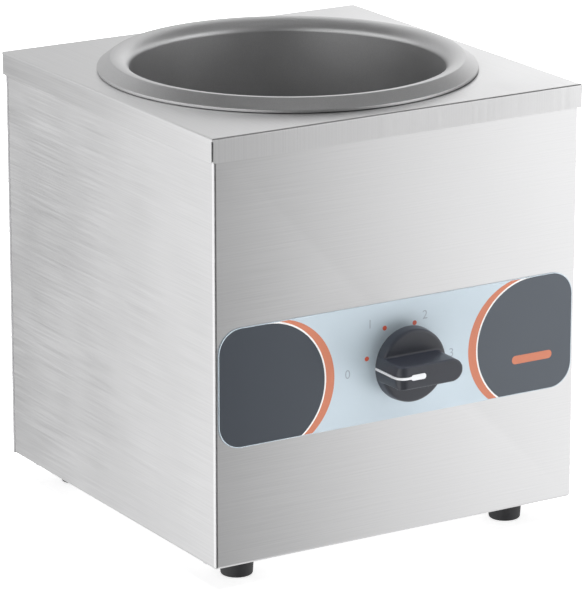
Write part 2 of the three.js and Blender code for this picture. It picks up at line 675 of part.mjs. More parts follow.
// Leads between the terminal block, the thermostat tabs and the heater posts. They run low, under
// the well, and rise in the corners of the cabinet.
function wirePaths() {
  const blockFront = BLOCK.y - BLOCK.depth / 2 - 2 * GAP;
  const blockZ = panTop + GAP + BLOCK.height / 2;
  const tabY = housingRear - 4 + TAB.thickness / 2;
  const tabZ = dialZ - HOUSING.height / 2 - GAP - TAB.length - 2 * GAP;
  const low = panTop + 6;
  const post = POST.angles.map((angle) => {
    const reach = wellR + 2 * GAP + BAND.thickness + POST.length + 2 * GAP;
    return [...around(reach, angle), bandLow() + BAND.height * 0.6];
  });
  const corner = POST.angles.map((angle) => around(wellR + 24, angle));
  const tabX = TAB.spacing / 2;
  const [x0, x1] = blockScrewX();
  return {
    wire_line: [
      [x1, blockFront, blockZ], [x1, blockFront - 6, blockZ], [x1 - 4, blockFront - 24, low],
      [40, -40, low], [tabX + 14, tabY + 4, low + 4], [tabX + 6, tabY, tabZ - 30],
      [tabX, tabY, tabZ - 8], [tabX, tabY, tabZ],
    ],
    wire_heater_feed: [
      [-tabX, tabY, tabZ], [-tabX, tabY, tabZ - 7], [corner[1][0] + 14, corner[1][1], post[1][2] + 8],
      [...corner[1], post[1][2] + 1], post[1],
    ],
    wire_heater_return: [
      post[0], [...corner[0], post[0][2] - 1], [corner[0][0] + 2, corner[0][1] + 6, low + 14],
      [40, -60, low + 9], [22, 10, low + 1], [CUTOUT.stemR + 7, CUTOUT.y - 4, low - 1],
    ],
    wire_neutral: [
      [-CUTOUT.stemR - 4, CUTOUT.y + 2, low], [-14, CUTOUT.y + 14, low], [8, CUTOUT.y + 22, low - 1],
      [x0 - 8, blockFront - 16, blockZ - 3], [x0, blockFront - 6, blockZ], [x0, blockFront, blockZ],
    ],
  };
}

// ---- assembly ---------------------------------------------------------------------------------
function addCabinet() {
  addPart('body_wrap', bodyWrap(), STAINLESS());
  addPart('rear_panel', rearPanel(), STAINLESS());
  addPart('bottom_pan', bottomPan(), STAINLESS());
  addPart('top_cover', topCover(), STAINLESS());
  for (const [name, [x, y]] of Object.entries(panScrewSpots())) {
    const shape = placed(screw(5).rotate([180, 0, 0]), x, y, bodyZ - GAP);
    addPart(`pan_screw_${name}`, shape, ZINC());
  }
  for (const [name, [x, z]] of Object.entries(rearScrewSpots())) {
    const y = (name.startsWith('upper') ? lidHalfD : halfD) + GAP;
    addPart(`rear_screw_${name}`, placed(screw().rotate([-90, 0, 0]), x, y, z), ZINC());
  }
  for (const [name, [x, y]] of Object.entries(footSpots())) {
    addPart(`foot_${name}`, foot(x, y), BLACK_RUBBER());
    addPart(`foot_screw_${name}`, footScrew(x, y), ZINC());
  }
}

function addWell() {
  addPart('well', well(), WELL_METAL());
  addPart('heater_band', heaterBand(), MICA());
  addPart('heater_band_bolt', heaterBandBolt(), ZINC());
  POST.angles.forEach((angle, i) => addPart(`heater_terminal_${i + 1}`, heaterTerminal(angle), ZINC()));
  addPart('insulation_wrap', insulationWrap(), FIBRE());
  HANGER.angles.forEach((angle, i) => {
    addPart(`well_hanger_${i + 1}`, wellHanger(angle), ZINC());
    addPart(`hanger_nut_${i + 1}`, hangerNut(angle), ZINC());
  });
  addPart('limit_cutout', limitCutout(), CERAMIC());
}

function addControls() {
  addPart('control_overlay', controlOverlay(), OVERLAY_FILM());
  addPart('thermostat_bracket', thermostatBracket(), ZINC());
  addPart('thermostat_housing', thermostatHousing(), BLACK_PLASTIC());
  addPart('thermostat_shaft', thermostatShaft(), ZINC());
  ['left', 'right'].forEach((name, i) => {
    addPart(`thermostat_tab_${name}`, thermostatTab(2 * i - 1), ZINC());
    addPart(`bracket_screw_${name}`, bracketScrew(2 * i - 1), ZINC());
  });
  addPart('knob', knob(), BLACK_PLASTIC());
  addPart('knob_pointer', onFront(pointerSolid(0)), WHITE_PLASTIC());
  addPart('knob_clip', knobClip(), ZINC());
}

function addWiring() {
  addPart('cord_gland', cordGland(), BLACK_PLASTIC());
  addPart('gland_nut', glandNut(), BLACK_PLASTIC());
  addPart('ground_screw', groundScrew(), GREEN());
  addPart('rating_plate', ratingPlate(), ZINC());
  addPart('terminal_block', terminalBlock(), WHITE_PLASTIC());
  blockScrewX().forEach((x, i) => addPart(`block_screw_${i + 1}`, blockScrew(x), ZINC()));
  const paths = wirePaths();
  const colours = Object.values(WIRE_COLOURS);
  Object.keys(paths).forEach((name, i) => addPart(name, wire(paths[name]), finish(colours[i], 0.5, 0)));
}

addCabinet();
addWell();
addControls();
addWiring();

export default model;
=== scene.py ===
"""Looks of a countertop round-well food warmer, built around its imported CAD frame.

Everything is in metres in the CAD frame. Shape details are given in millimetres and placed from
the boxes of the CAD nodes.
"""
from math import asin, cos, degrees, pi, radians, sin

import bmesh
import bpy
from mathutils import Matrix, Vector


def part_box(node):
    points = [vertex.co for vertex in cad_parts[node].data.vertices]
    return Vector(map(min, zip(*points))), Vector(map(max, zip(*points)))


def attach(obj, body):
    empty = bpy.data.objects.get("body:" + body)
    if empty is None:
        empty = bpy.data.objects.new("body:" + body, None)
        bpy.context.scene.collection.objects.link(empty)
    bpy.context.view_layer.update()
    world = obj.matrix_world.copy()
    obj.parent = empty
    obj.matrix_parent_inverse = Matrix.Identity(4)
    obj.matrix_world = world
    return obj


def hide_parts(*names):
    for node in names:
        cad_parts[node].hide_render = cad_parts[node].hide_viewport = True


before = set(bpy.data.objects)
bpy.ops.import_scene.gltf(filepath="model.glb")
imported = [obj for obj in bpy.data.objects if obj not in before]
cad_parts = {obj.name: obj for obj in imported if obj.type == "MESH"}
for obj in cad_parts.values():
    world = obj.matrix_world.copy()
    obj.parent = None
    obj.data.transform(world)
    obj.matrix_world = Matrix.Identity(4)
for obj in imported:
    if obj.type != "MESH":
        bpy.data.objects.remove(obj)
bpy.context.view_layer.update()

MM = 0.001
FINE = 160  # sides of the large round pieces
ROUND = 48  # sides of the small round pieces
CABINET, DIAL = "cabinet", "dial"

# ---- places, from the CAD nodes -------------------------------------------------------------
LID_LOW, LID_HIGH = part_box("top_cover")
BODY_LOW, BODY_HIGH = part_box("body_wrap")
REAR_LOW, REAR_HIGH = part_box("rear_panel")
WELL_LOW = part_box("well")[0]
FILM_LOW, FILM_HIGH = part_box("control_overlay")
WELL_DEPTH, WELL_WALL = 190.0, 1.2
LID_TOP = WELL_LOW[2] + (WELL_DEPTH + WELL_WALL) * MM
CENTRE_Y = (LID_LOW[1] + LID_HIGH[1]) / 2
FRONT_Y = BODY_LOW[1]
DIAL_Z = (FILM_LOW[2] + FILM_HIGH[2]) / 2
SHEET = 1.0  # sheet thickness
BEND = 1.6  # outside radius of the cabinet's bends
LID_BEND = 1.2
LID_FLANGE = 12.1


# ---- materials ------------------------------------------------------------------------------
def link(tree, kind, inputs=None, **settings):
    """A new node with its settings, and with each input set or linked to an output."""
    made = tree.nodes.new(kind)
    for key, value in settings.items():
        setattr(made, key, value)
    for key, value in (inputs or {}).items():
        socket = made.inputs[key]
        if isinstance(value, bpy.types.NodeSocket):
            tree.links.new(value, socket)
        else:
            socket.default_value = value
    return made


def noise(tree, place, stretch, size, detail=3.0):
    """Noise whose features are size millimetres across, stretched along the axes given."""
    scale = tuple(1.0 / max(s, 1e-6) for s in stretch)
    mapped = link(tree, "ShaderNodeMapping", {"Vector": place, "Scale": scale})
    made = link(tree, "ShaderNodeTexNoise", {"Vector": mapped.outputs[0], "Scale": 1.0 / (size * MM),
                                             "Detail": detail, "Roughness": 0.6})
    return made.outputs["Fac"]


def ranged(tree, value, low, high, source=(0.3, 0.7)):
    made = link(tree, "ShaderNodeMapRange", {"Value": value, "From Min": source[0],
                                             "From Max": source[1], "To Min": low, "To Max": high})
    return made.outputs["Result"]


def tinted(tree, color, factor):
    """The colour multiplied by a grey factor."""
    made = link(tree, "ShaderNodeVectorMath", {0: tuple(color[:3]), 1: factor}, operation="MULTIPLY")
    return made.outputs[0]


def finish(name, color, roughness, metallic=0.0, grain=0.5, stretch=(1, 1, 1), tint=0.05,
           spread=0.05, cloud=60.0, cloud_tint=0.04, bump=0.1, height=0.01, edge=0.0, place=None,
           across=None, sockets=None):
    """A procedural surface: fine grain and broad clouding in its colour and roughness, a bump from the
    grain, and sharp edges painted lighter as a painted highlight. Across gives the direction that brushing
    blurs most."""
    made = bpy.data.materials.new(name)
    made.use_nodes = True
    tree = made.node_tree
    shader = tree.nodes["Principled BSDF"]
    spot = link(tree, "ShaderNodeTexCoord").outputs["Object"]
    fine = noise(tree, place(tree, spot) if place else spot, stretch, grain)
    broad = noise(tree, spot, (1, 1, 1), cloud, 2.0)
    fine_tint = ranged(tree, fine, 1.0 - tint, 1.0 + tint)
    broad_tint = ranged(tree, broad, 1.0 - cloud_tint, 1.0 + cloud_tint)
    both = link(tree, "ShaderNodeMath", {0: fine_tint, 1: broad_tint}, operation="MULTIPLY")
    factor = both.outputs[0]
    # Sharp edges, found by their pointiness, are painted lighter: a painted highlight along the edges.
    if edge:
        shape = link(tree, "ShaderNodeNewGeometry").outputs["Pointiness"]
        painted_edge_highlight = ranged(tree, shape, 1.0, 1.0 + edge, (0.515, 0.56))
        factor = link(tree, "ShaderNodeMath", {0: factor, 1: painted_edge_highlight}, operation="MULTIPLY").outputs[0]
    tree.links.new(tinted(tree, color, factor), shader.inputs["Base Color"])
    gloss = link(tree, "ShaderNodeMath", {0: ranged(tree, fine, -spread, spread),
                                          1: ranged(tree, broad, roughness - spread / 2,
                                                    roughness + spread / 2)}, operation="ADD")
    tree.links.new(gloss.outputs[0], shader.inputs["Roughness"])
    raised = link(tree, "ShaderNodeBump", {"Strength": bump, "Distance": height * MM, "Height": fine})
    tree.links.new(raised.outputs["Normal"], shader.inputs["Normal"])
    if across:
        tree.links.new(across(tree), shader.inputs["Tangent"])
    shader.inputs["Metallic"].default_value = metallic
    for key, value in (sockets or {}).items():
        shader.inputs[key].default_value = value
    return made


def on_flank(tree):
    """1 on surfaces that face left or right, 0 on the others."""
    normal = link(tree, "ShaderNodeNewGeometry").outputs["True Normal"]
    facing = link(tree, "ShaderNodeSeparateXYZ", {0: normal}).outputs[0]
    sideways = link(tree, "ShaderNodeMath", {0: facing, 1: facing}, operation="MULTIPLY").outputs[0]
    return link(tree, "ShaderNodeMath", {0: sideways, 1: 0.5}, operation="GREATER_THAN").outputs[0]


def lid_grain(tree, spot):
    """Lets the lid's grain run front to back on its top and on down each flange."""
    parts = link(tree, "ShaderNodeSeparateXYZ", {0: spot})
    stretch = link(tree, "ShaderNodeMath", {0: on_flank(tree), 1: 120.0}, operation="MULTIPLY").outputs[0]
    height = link(tree, "ShaderNodeMath", {0: parts.outputs[2], 1: stretch}, operation="MULTIPLY")
    return link(tree, "ShaderNodeCombineXYZ", {0: parts.outputs[0], 1: parts.outputs[1],
                                               2: height.outputs[0]}).outputs[0]


def across_lid(tree):
    """The way across the lid's grain: along X, or up and down on the left and right flanges."""
    flank = on_flank(tree)
    other = link(tree, "ShaderNodeMath", {0: 1.0, 1: flank}, operation="SUBTRACT").outputs[0]
    return link(tree, "ShaderNodeCombineXYZ", {0: other, 2: flank}).outputs[0]


STEEL = (0.70, 0.70, 0.705)
LID_STEEL = (0.79, 0.79, 0.795)
BRUSHED = dict(metallic=1.0, grain=0.55, tint=0.05, spread=0.06, cloud=70, cloud_tint=0.02,
               bump=0.35, height=0.012)
GLOSSY_FILM = {"Specular IOR Level": 1.0, "Coat Weight": 1.0, "Coat Roughness": 0.36, "Coat IOR": 1.6,
               "Coat Tint": (0.90, 0.95, 1.0, 1.0), "Specular Tint": (0.80, 0.90, 1.0, 1.0)}


def make_materials():
    made = {
        "body_steel": finish("body_steel", STEEL, 0.36, stretch=(90, 90, 1), edge=0.1, **BRUSHED),
        "lid_steel": finish("lid_steel", LID_STEEL, 0.36, stretch=(1, 120, 120), place=lid_grain,
                            across=across_lid, sockets={"Anisotropic": 0.85}, **BRUSHED),
        "pan_steel": finish("pan_steel", STEEL, 0.38, stretch=(1, 90, 1), edge=0.1, **BRUSHED),
        "well_metal": finish("well_metal", (0.60, 0.60, 0.605), 0.42, 0.95, grain=0.5, tint=0.07,
                             spread=0.05, cloud=35, cloud_tint=0.05, bump=0.3, height=0.012),
        "zinc": finish("zinc", (0.62, 0.63, 0.65), 0.32, 1.0, grain=0.8, tint=0.06, edge=0.15),
        "knob_plastic": finish("knob_plastic", (0.023, 0.026, 0.036), 0.36, grain=0.25, tint=0.10,
                               spread=0.05, cloud=15, cloud_tint=0.06, bump=0.25, height=0.02,
                               edge=0.6, sockets={"Specular IOR Level": 0.65}),
        "pointer_white": finish("pointer_white", (0.66, 0.67, 0.69), 0.40, grain=0.4, tint=0.02),
        "rubber": finish("rubber", (0.018, 0.018, 0.020), 0.62, grain=0.3, tint=0.2, spread=0.08,
                         bump=0.4, height=0.03, edge=0.8),
        "black_plastic": finish("black_plastic", (0.028, 0.028, 0.030), 0.5, grain=0.3, tint=0.15,
                                bump=0.35, height=0.03, edge=0.5),
        "film_blue": finish("film_blue", (0.48, 0.53, 0.55), 0.42, grain=0.35, tint=0.015,
                            bump=0.25, height=0.02, sockets=GLOSSY_FILM),
        "film_slate": finish("film_slate", (0.006, 0.009, 0.018), 0.40, grain=0.35, tint=0.08,
                             bump=0.25, height=0.02, sockets=GLOSSY_FILM),
        "film_orange": finish("film_orange", (0.50, 0.16, 0.085), 0.42, grain=0.35, tint=0.03,
                              bump=0.2, height=0.02),
        "film_white": finish("film_white", (0.70, 0.70, 0.69), 0.42, grain=0.35, tint=0.02),
        "ink_red": finish("ink_red", (0.53, 0.085, 0.045), 0.42, grain=0.35, tint=0.04),
        "ink_grey": finish("ink_grey", (0.29, 0.33, 0.38), 0.45, grain=0.35, tint=0.04),
        "mica": finish("mica", (0.34, 0.30, 0.25), 0.6, 0.3, grain=2.0, tint=0.15, bump=0.3),
        "fibre": finish("fibre", (0.82, 0.78, 0.62), 0.95, grain=0.7, stretch=(4, 4, 1), tint=0.12,
                        bump=0.9, height=0.3),
        "ceramic": finish("ceramic", (0.80, 0.76, 0.68), 0.6, grain=0.6, tint=0.06, bump=0.3),
        "nylon": finish("nylon", (0.80, 0.79, 0.74), 0.45, grain=0.5, tint=0.04),
        "ground_green": finish("ground_green", (0.05, 0.30, 0.12), 0.4, 0.6, grain=0.6, tint=0.1),
        "wire_black": finish("wire_black", (0.03, 0.03, 0.03), 0.5, grain=0.6, tint=0.1),
        "wire_red": finish("wire_red", (0.45, 0.04, 0.03), 0.5, grain=0.6, tint=0.1),
        "wire_white": finish("wire_white", (0.80, 0.80, 0.76), 0.5, grain=0.6, tint=0.05),
        "wire_blue": finish("wire_blue", (0.04, 0.10, 0.40), 0.5, grain=0.6, tint=0.1),
        "floor": finish("floor", (0.86, 0.86, 0.86), 0.9, grain=3, tint=0.004, cloud=400,
                        cloud_tint=0.004, bump=0.02,
                        sockets={"Emission Color": (1, 1, 1, 1), "Emission Strength": 0.7}),
    }
    return made


# ---- mesh helpers ---------------------------------------------------------------------------
def add_object(name, mesh):
    made = bpy.data.objects.new(name, mesh)
    bpy.context.scene.collection.objects.link(made)
    return made


def object_from(name, bm):
    bmesh.ops.recalc_face_normals(bm, faces=bm.faces)
    mesh = bpy.data.meshes.new(name)
    bm.to_mesh(mesh)
    bm.free()
    return add_object(name, mesh)


def bake(piece):
    """Applies the modifiers of a piece."""
    bpy.context.view_layer.update()
    graph = bpy.context.evaluated_depsgraph_get()
    mesh = bpy.data.meshes.new_from_object(piece.evaluated_get(graph))
    piece.modifiers.clear()
    old, piece.data = piece.data, mesh
    bpy.data.meshes.remove(old)
    return piece


def modify(piece, kind, **settings):
    made = piece.modifiers.new(kind.lower(), kind)
    for key, value in settings.items():
        setattr(made, key, value)
    return made


def boolean(piece, others, operation="DIFFERENCE"):
    for other in others:
        modify(piece, "BOOLEAN", object=other, operation=operation, solver="EXACT")
    bake(piece)
    for other in others:
        bpy.data.objects.remove(other)
    return piece


def fillet(piece, width, segments=3, angle=35):
    """Rounds the sharp edges of a piece by a width in millimetres."""
    modify(piece, "BEVEL", width=width * MM, segments=segments, limit_method="ANGLE",
           angle_limit=radians(angle), use_clamp_overlap=True)
    return bake(piece)


def shade(piece, angle=30):
    """Smooth shading with the creases kept."""
    mesh = piece.data
    mesh.shade_smooth()
    mesh.set_sharp_from_angle(angle=radians(angle))
    modify(piece, "WEIGHTED_NORMAL", keep_sharp=True)
    return bake(piece)


def block(name, low, high):
    """A box between two corners, in metres, for cutting or for rounding further."""
    bm = bmesh.new()
    bmesh.ops.create_cube(bm, size=1.0)
    size = Vector(high) - Vector(low)
    bmesh.ops.transform(bm, matrix=Matrix.Diagonal((*size, 1.0)), verts=bm.verts)
    bmesh.ops.translate(bm, vec=(Vector(low) + Vector(high)) / 2, verts=bm.verts)
    return object_from(name, bm)


def lathe(name, outline, sides=ROUND, place=None):
    """A closed solid turned about Z from (radius, height) points in millimetres."""
    bm = bmesh.new()
    rings = []
    for radius, height in outline:
        if radius < 1e-6:
            rings.append([bm.verts.new((0.0, 0.0, height * MM))])
            continue
        turn = [2 * pi * i / sides for i in range(sides)]
        rings.append([bm.verts.new((radius * MM * cos(a), radius * MM * sin(a), height * MM))
                      for a in turn])
    closed = outline[0][0] > 1e-6
    pairs = list(zip(rings, rings[1:] + rings[:1])) if closed else list(zip(rings, rings[1:]))
    for one, two in pairs:
        for i in range(sides):
            j = (i + 1) % sides
            corners = [one[i % len(one)], one[j % len(one)], two[j % len(two)], two[i % len(two)]]
            corners = list(dict.fromkeys(corners))
            if len(corners) > 2:
                bm.faces.new(corners)
    if place:
        bmesh.ops.transform(bm, matrix=place, verts=bm.verts)
    return object_from(name, bm)


def arc(cx, cz, rx, rz, start, stop, steps):
    """Points on an ellipse, in millimetres, from one angle to another."""
    angles = [radians(start + (stop - start) * i / steps) for i in range(steps + 1)]
    return [(cx + rx * cos(a), cz + rz * sin(a)) for a in angles]


def plate(name, outline, thickness, place):
    """A flat outline of (x, y) millimetres raised along Z by a thickness, then placed."""
    bm = bmesh.new()
    face = bm.faces.new([bm.verts.new((x * MM, y * MM, 0.0)) for x, y in outline])
    top = bmesh.ops.extrude_face_region(bm, geom=[face])["geom"]
    verts = [v for v in top if isinstance(v, bmesh.types.BMVert)]
    bmesh.ops.translate(bm, vec=(0, 0, thickness * MM), verts=verts)
    bmesh.ops.transform(bm, matrix=place, verts=bm.verts)
    return object_from(name, bm)


def rounded_rectangle(width, height, radius, steps=16):
    x, y = width / 2 - radius, height / 2 - radius
    corners = [(x, y, 0), (-x, y, 90), (-x, -y, 180), (x, -y, 270)]
    return [p for cx, cy, start in corners for p in arc(cx, cy, radius, radius, start, start + 90, steps)]


def front_place(x=0.0, z=DIAL_Z, out=0.0):
    """Puts a piece drawn in plan on the cabinet's front: +Z becomes outwards, +Y becomes up."""
    return Matrix.Translation((x, FRONT_Y - out, z)) @ Matrix.Rotation(pi / 2, 4, "X")


def rear_place(x, z, y):
    """The same on a face that looks to the rear."""
    return Matrix.Translation((x, y, z)) @ Matrix.Rotation(-pi / 2, 4, "X")


def centre(node):
    low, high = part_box(node)
    return [(a + b) / 2 for a, b in zip(low, high)]


def keep(piece, body, material, nodes=()):
    """Names a finished piece's body, material and the CAD nodes that it stands for."""
    piece.data.materials.clear()
    piece.data.materials.append(MATERIALS[material])
    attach(piece, body)
    if nodes:
        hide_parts(*nodes)
    return piece


# ---- cabinet --------------------------------------------------------------------------------
def rounded_box(name, low, high, chosen, radius, segments=6):
    """A closed box with the edges that chosen(edge middle, direction) picks bent to a radius."""
    piece = block(name, low, high)
    bm = bmesh.new()
    bm.from_mesh(piece.data)
    edges = [e for e in bm.edges
             if chosen((e.verts[0].co + e.verts[1].co) / 2, e.verts[0].co - e.verts[1].co)]
    bmesh.ops.bevel(bm, geom=edges, offset=radius * MM, segments=segments, affect="EDGES", profile=0.5)
    bm.to_mesh(piece.data)
    bm.free()
    return piece


def body_wrap():
    """The folded front and sides, with flanges turned in at the top, bottom and rear."""
    low, high = Vector(BODY_LOW), Vector(BODY_HIGH)

    def bent(middle, along):
        upright = abs(along.z) > 0.1
        return upright or middle.y < high.y - 0.01

    piece = rounded_box("body_wrap_sheet", low, high, bent, BEND)
    modify(piece, "SOLIDIFY", thickness=SHEET * MM, offset=-1.0, use_even_offset=True)
    bake(piece)
    flange, rear = 11 * MM, 14 * MM
    ends = block("cut_ends", (low.x + flange, low.y + flange, low.z - 0.01),
                 (high.x - flange, high.y - flange + 1.3 * MM, high.z + 0.01))
    back = block("cut_back", (low.x + rear, high.y - 5 * MM, low.z + rear),
                 (high.x - rear, high.y + 5 * MM, high.z - rear))
    hole = lathe("cut_dial", [(0, -10), (5, -10), (5, 10), (0, 10)], ROUND, front_place())
    boolean(piece, [ends, back, hole])
    keep(shade(piece), CABINET, "body_steel", ["body_wrap"])


def slot_cutters(node, count, axis_place):
    """Cutters for the two banks of vent slots in a plate."""
    cutters = []
    for side in (-1, 1):
        for row in range(count):
            outline = rounded_rectangle(42, 4, 1.98, 8)
            cutters.append(plate(f"cut_{node}_{side}_{row}", outline, 6, axis_place(side, row)))
    return cutters


def rear_panel():
    low, high = Vector(REAR_LOW), Vector(REAR_HIGH)
    piece = block("rear_panel_sheet", low, high)
    bank = (high.x - low.x) * 0.2

    def slot_place(side, row):
        z = high.z - (14 + 12.7 + 11 * (row + 1)) * MM
        return rear_place(side * bank, z, high.y - 3 * MM)

    gland = centre("cord_gland")
    hole = lathe("cut_gland", [(0, -5), (7.9, -5), (7.9, 5), (0, 5)], ROUND,
                 rear_place(gland[0], gland[2], high.y))
    boolean(piece, slot_cutters("rear", 6, slot_place) + [hole])
    fillet(piece, 0.2, 2)
    keep(shade(piece), CABINET, "body_steel", ["rear_panel"])


def bottom_pan():
    low, high = [Vector(v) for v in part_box("bottom_pan")]
    tray = rounded_box("bottom_pan_sheet", low, high, lambda middle, along: middle.z < high.z - 0.002, 1.2)
    modify(tray, "SOLIDIFY", thickness=SHEET * MM, offset=-1.0, use_even_offset=True)
    bake(tray)
    lip = 1.05 * MM
    top = block("cut_top", (low.x + lip, low.y + lip, high.z - 3 * MM),
                (high.x - lip, high.y - lip, high.z + 0.01))
    bank = (BODY_HIGH[0] - BODY_LOW[0]) * 0.2

    def slot_place(side, row):
        return Matrix.Translation((side * bank, CENTRE_Y + 11 * MM * (row - 2.5), low.z - 3 * MM))

    boolean(tray, slot_cutters("pan", 6, slot_place) + [top])
    keep(shade(tray), CABINET, "pan_steel", ["bottom_pan"])


def top_cover():
    """The box lid: a bent sheet with a round hole and open slits between its flanges."""
    low = Vector((LID_LOW[0], LID_LOW[1], LID_TOP - LID_FLANGE * MM))
    high = Vector((LID_HIGH[0], LID_HIGH[1], LID_TOP))
    piece = rounded_box("lid_sheet", low, high, lambda middle, along: middle.z > high.z - 0.001, LID_BEND)
    bm = bmesh.new()
    bm.from_mesh(piece.data)
    bmesh.ops.delete(bm, geom=[f for f in bm.faces if f.normal.z < -0.9], context="FACES")
    bm.to_mesh(piece.data)
    bm.free()
    modify(piece, "SOLIDIFY", thickness=SHEET * MM, offset=-1.0, use_even_offset=True)
    bake(piece)
    cutters = [lathe("cut_hole", [(0, -6), (88, -6), (88, 6), (0, 6)], FINE,
                     Matrix.Translation((0, CENTRE_Y, LID_TOP)))]
    for sx in (-1, 1):
        for sy in (-1, 1):
            slit = block("cut_slit", (-4 * MM, -0.45 * MM, 0), (4 * MM, 0.45 * MM, 20 * MM))
            turn = Matrix.Rotation(radians(45 * sx * sy), 4, "Z")
            corner = (sx * high.x, CENTRE_Y + sy * (high.y - CENTRE_Y), LID_TOP - (LID_BEND + 20.2) * MM)
            slit.data.transform(Matrix.Translation(corner) @ turn)
            cutters.append(slit)
    boolean(piece, cutters)
    keep(shade(piece), CABINET, "lid_steel", ["top_cover"])


# ---- well -----------------------------------------------------------------------------------
def well():
    """The drawn well. Its mouth rolls out to a crest and falls as a cone to a lip on the lid."""
    mouth, wall, corner, depth = 81.0, WELL_WALL, 12.0, WELL_DEPTH
    crest, rim, height = 90.5, 97.5, 6.5
    inner = [(0, -depth)] + arc(mouth - corner, corner - depth, corner, corner, -90, 0, 12)
    funnel = arc(crest, 0, crest - mouth, height, 180, 96, 24)
    crease = arc(crest + 0.1, height - 1.2, 1.2, 1.2, 90, 46, 5)
    cone = [(rim - 0.7, 2.15), (rim - 0.15, 1.75), (rim, 1.4), (rim, 0.35)]
    under = [(rim - wall, 0.35), (rim - wall - 0.1, 1.1), (crest + 0.2, height - wall - 0.5)]
    back = arc(crest, 0, crest - mouth - wall, height - wall, 95, 180, 16)
    outer = arc(mouth - corner, corner - depth, corner + wall, corner + wall, 0, -90, 12)
    profile = inner + funnel + crease + cone + under + back + outer + [(0, -depth - wall)]
    place = Matrix.Translation((0, CENTRE_Y, LID_TOP))
    piece = lathe("well_shell", profile, FINE, place)
    keep(shade(piece, 40), CABINET, "well_metal", ["well"])


# ---- control overlay ------------------------------------------------------------------------
FILM_WIDTH, FILM_HEIGHT, FILM_CORNER = 209.0, 61.3, 12.5
FILM_OUT = 0.5 * MM  # the film's face stands this far off the cabinet
PRINT_MARGIN = 0.35  # the print stops this far inside the film's edge
RING_OUT_X, RING_OUT_R = -74.5, 34.8  # outer edge of the orange ring at the left end
RING_IN_X, RING_IN_R = -79.0, 34.5  # its inner edge
RING_Y, RING_LINE = -3.4, 0.85
RING_SHIFT = 1.5  # the print sits this far to the right of the film's middle
PILL = (24.4, 4.4, 2.1)  # width, height and corner radius
PILL_X, PILL_Y = 80.2, -12.2


def printed(name, outline, material, thickness=0.02, out=0.0):
    """A printed area of the film, drawn from the dial's centre in millimetres."""
    piece = plate(name, outline, thickness, front_place(out=FILM_OUT + out * MM))
    keep(piece, CABINET, material)


def ring_edge(x, radius):
    """An arc about an end circle, from the print's bottom edge up to its top edge."""
    top = FILM_HEIGHT / 2 - PRINT_MARGIN
    low = degrees(asin((-top - RING_Y) / radius))
    high = degrees(asin(min(1.0, (top - RING_Y) / radius)))
    return arc(x, RING_Y, radius, radius, low, high, 48)


def mirrored(points, side):
    """Points drawn for the film's left end, put at the left (1) or right (-1) end."""
    return [(side * x + RING_SHIFT, y) for x, y in points]


def band(side, outer, inner, name, material, thickness):
    """The strip of print between two ring edges, each given as its centre and radius."""
    outline = ring_edge(*outer) + ring_edge(*inner)[::-1]
    printed(name, mirrored(outline, side), material, thickness)


def slate_end(side, name):
    """The dark end of the film, from its rounded corners to the ring's white line."""
    top = FILM_HEIGHT / 2 - PRINT_MARGIN
    x = FILM_WIDTH / 2 - PRINT_MARGIN - FILM_CORNER + side * RING_SHIFT
    corners = arc(-x, top - FILM_CORNER, FILM_CORNER, FILM_CORNER, 90, 180, 16)
    corners += arc(-x, FILM_CORNER - top, FILM_CORNER, FILM_CORNER, 180, 270, 16)
    outline = corners + ring_edge(RING_IN_X, RING_IN_R - RING_LINE)
    printed(name, mirrored(outline, side), "film_slate")


def control_overlay():
    outline = rounded_rectangle(FILM_WIDTH, FILM_HEIGHT, FILM_CORNER)
    base = plate("overlay_film", outline, 0.4, front_place(out=0.1 * MM))
    hole = lathe("cut_film", [(0, -5), (5, -5), (5, 5), (0, 5)], ROUND, front_place())
    boolean(base, [hole])
    keep(base, CABINET, "film_blue", ["control_overlay"])
    inner = (RING_IN_X, RING_IN_R)
    for side, name in ((1, "left"), (-1, "right")):
        slate_end(side, f"film_slate_{name}")
        band(side, inner, (RING_IN_X, RING_IN_R - RING_LINE), f"film_line_{name}", "film_white", 0.022)
        band(side, (RING_OUT_X, RING_OUT_R), inner, f"film_ring_{name}", "film_orange", 0.021)
    pill = rounded_rectangle(*PILL)
    printed("film_pill", [(x + PILL_X, y + PILL_Y) for x, y in pill], "film_orange", 0.025, 0.02)
    dial_marks()


DOT_RADIUS, DOT_CIRCLE = 1.25, 19.5
DOT_ANGLES = (171, 117, 63, 9)
NUMERAL_SPOTS = ((-30.5, -3.5), (-17.5, 20.5), (15.0, 20.5), (31.0, -2.0))


def dial_marks():
    """A red dot and a plain numeral for each setting."""
    for i, angle in enumerate(DOT_ANGLES):
        x, y = DOT_CIRCLE * cos(radians(angle)), DOT_CIRCLE * sin(radians(angle))
        dot = plate(f"dial_dot_{i}", arc(x, y, DOT_RADIUS, DOT_RADIUS, 0, 345, 23), 0.02,
                    front_place(out=FILM_OUT))
        keep(dot, CABINET, "ink_red")
        numeral(i, NUMERAL_SPOTS[i])


def numeral(value, spot):
    text = bpy.data.curves.new(f"numeral_{value}", "FONT")
    text.body = str(value)
    text.align_x, text.align_y = "CENTER", "CENTER"
    text.size = 6.5 * MM
    text.extrude = 0.01 * MM
    holder = add_object(f"numeral_{value}", text)
    bpy.context.view_layer.update()
    mesh = bpy.data.meshes.new_from_object(holder.evaluated_get(bpy.context.evaluated_depsgraph_get()))
    bpy.data.objects.remove(holder)
    place = front_place(spot[0] * MM, DIAL_Z + spot[1] * MM, FILM_OUT + 0.01 * MM)
    mesh.transform(place)
    piece = add_object(f"dial_numeral_{value}", mesh)
    keep(piece, CABINET, "ink_grey")


